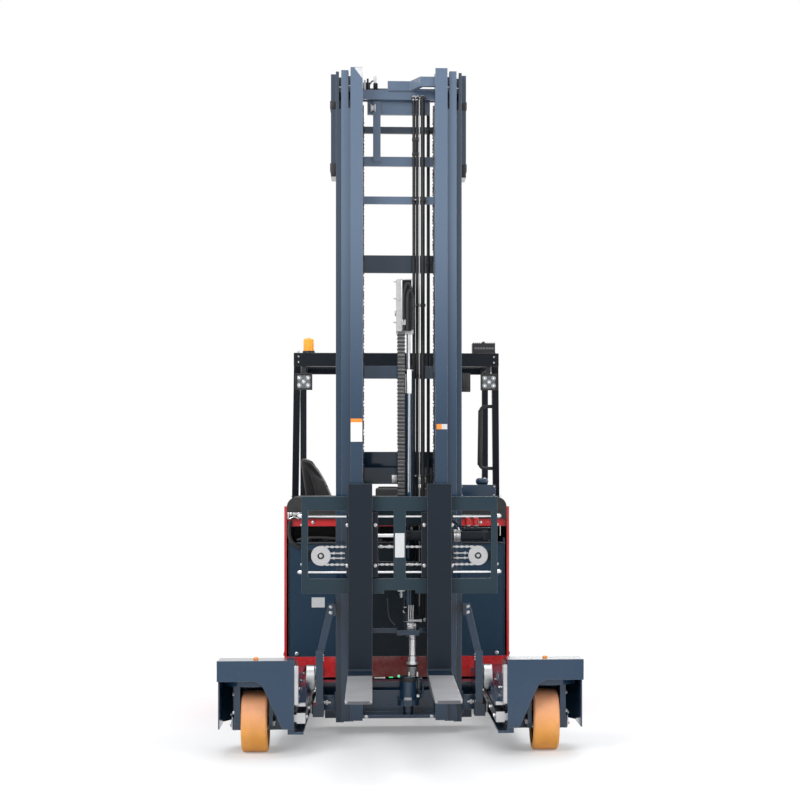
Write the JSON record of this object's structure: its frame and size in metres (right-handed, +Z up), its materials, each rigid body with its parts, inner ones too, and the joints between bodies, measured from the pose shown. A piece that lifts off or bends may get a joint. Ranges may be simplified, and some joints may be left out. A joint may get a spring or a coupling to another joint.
{
  "type": "multidirectional reach truck",
  "caption": "Four-way sit-on reach truck with a reaching triplex mast, spreading forks, side-facing seat under a barred guard and load wheels that steer sideways in the legs.",
  "frame": {"origin": "on the floor under the middle of the truck's overall length and width", "axes": "+Z up, -Y the way the forks point, +X the side the driver climbs in from"},
  "size_m": [1.769, 3.345, 3.47],
  "materials": {
    "slate_paint": "semi-gloss",
    "carriage_paint": "semi-gloss",
    "red_paint": "semi-gloss",
    "black_paint": "satin",
    "black_plastic": "grained",
    "battery_grey": "satin",
    "worn_steel": "worn",
    "bright_steel": "ground",
    "chain_steel": "oiled",
    "chrome": "polished",
    "cast_grey": "cast",
    "load_tread": "moulded",
    "drive_tread": "moulded",
    "black_rubber": "matt",
    "seat_fabric": "woven",
    "amber": "clear gloss"
  },
  "bodies": {
    "chassis": {"leg_right": "slate_paint", "leg_left": "slate_paint", "guide_bars": "bright_steel", "chassis_frame": "red_paint", "battery": "battery_grey", "battery_rail": "red_paint", "bonnet": "black_plastic", "side_panel_left": "red_paint", "side_panel_right": "red_paint", "rear_hood": "red_paint", "seat_box": "black_paint", "rear_console": "black_plastic", "seat_cushion": "seat_fabric", "seat_back": "seat_fabric", "arm_console": "black_plastic", "terminal_box": "slate_paint", "pedals": "black_rubber", "overhead_guard": "black_paint", "work_lamps": "black_plastic", "beacon": "amber", "roof_lamp": "black_plastic", "grab_handle": "black_plastic", "reach_barrel": "black_paint"},
    "reach_carriage": {"mast_outer": "slate_paint", "lift_cylinders": "slate_paint", "outer_hoses": "black_rubber", "reach_frames": "slate_paint", "reach_rollers": "bright_steel", "reach_rod": "chrome"},
    "middle_mast": {"mast_middle": "slate_paint", "lift_rods": "chrome", "mast_chains": "chain_steel"},
    "inner_mast": {"mast_inner": "slate_paint", "free_lift_cylinder": "slate_paint", "foot_piston": "chrome", "inner_hoses": "black_rubber"},
    "free_head": {"free_lift_head": "bright_steel", "crosshead_pulley": "bright_steel", "carriage_chain": "chain_steel"},
    "fork_carriage": {"carriage_frame": "carriage_paint", "guide_rods": "chrome", "lift_carriage": "carriage_paint", "positioner_cylinder": "black_paint", "positioner_chain": "bright_steel"},
    "left_fork": {"fork_left": "worn_steel", "positioner_rod": "chrome"},
    "right_fork": {"fork_right": "worn_steel"},
    "drive_steer": {"drive_unit": "cast_grey", "drive_motor": "black_paint"},
    "drive_wheel": {"drive_tyre": "drive_tread", "drive_hub": "cast_grey"},
    "yoke_right": {"load_yoke_right": "slate_paint"},
    "yoke_left": {"load_yoke_left": "slate_paint"},
    "load_wheel_right": {"load_tyre_right": "load_tread", "load_hub_right": "cast_grey"},
    "load_wheel_left": {"load_tyre_left": "load_tread", "load_hub_left": "cast_grey"},
    "steering_wheel": {"handwheel": "black_plastic"}
  },
  "joints": [
    {"name": "mast_reach", "type": "slide", "parent": "chassis", "child": "reach_carriage", "axis": [0, 1, 0], "range_m": [-0.13, 0.4]},
    {"name": "middle_lift", "type": "slide", "parent": "reach_carriage", "child": "middle_mast", "axis": [0, 0, 1], "range_m": [0, 2.6]},
    {"name": "inner_lift", "type": "slide", "parent": "middle_mast", "child": "inner_mast", "axis": [0, 0, 1], "range_m": [0, 2.6]},
    {"name": "carriage_lift", "type": "slide", "parent": "inner_mast", "child": "fork_carriage", "axis": [0, 0, 1], "range_m": [-0.3, 1.95]},
    {"name": "free_head_lift", "type": "slide", "parent": "inner_mast", "child": "free_head", "axis": [0, 0, 1], "range_m": [-0.15, 0.975]},
    {"name": "left_fork_shift", "type": "slide", "parent": "fork_carriage", "child": "left_fork", "axis": [1, 0, 0], "range_m": [-0.184, 0.07]},
    {"name": "right_fork_shift", "type": "slide", "parent": "fork_carriage", "child": "right_fork", "axis": [1, 0, 0], "range_m": [-0.07, 0.184]},
    {"name": "drive_steering", "type": "hinge", "parent": "chassis", "child": "drive_steer", "pos_m": [-0.25, 1.2525, 0.42], "axis": [0, 0, 1], "range_deg": [-90, 90]},
    {"name": "drive_wheel_spin", "type": "hinge", "parent": "drive_steer", "child": "drive_wheel", "pos_m": [-0.25, 1.2525, 0.1715], "axis": [1, 0, 0], "continuous": true},
    {"name": "yoke_right_steering", "type": "hinge", "parent": "chassis", "child": "yoke_right", "pos_m": [0.71, -0.7675, 0.4], "axis": [0, 0, 1], "range_deg": [0, 90]},
    {"name": "yoke_left_steering", "type": "hinge", "parent": "chassis", "child": "yoke_left", "pos_m": [-0.71, -0.7675, 0.4], "axis": [0, 0, -1], "range_deg": [0, 90]},
    {"name": "load_wheel_right_spin", "type": "hinge", "parent": "yoke_right", "child": "load_wheel_right", "pos_m": [0.71, -0.7675, 0.15], "axis": [1, 0, 0], "continuous": true},
    {"name": "load_wheel_left_spin", "type": "hinge", "parent": "yoke_left", "child": "load_wheel_left", "pos_m": [-0.71, -0.7675, 0.15], "axis": [1, 0, 0], "continuous": true},
    {"name": "steering_wheel_turn", "type": "hinge", "parent": "chassis", "child": "steering_wheel", "pos_m": [0.15, 1.5075, 1.05], "axis": [0, 0, 1], "continuous": true}
  ],
  "couplings": [
    {"joint": "inner_lift", "follows": "middle_lift", "ratio": 1},
    {"joint": "free_head_lift", "follows": "carriage_lift", "ratio": 0.5},
    {"joint": "right_fork_shift", "follows": "left_fork_shift", "ratio": -1}
  ]
}
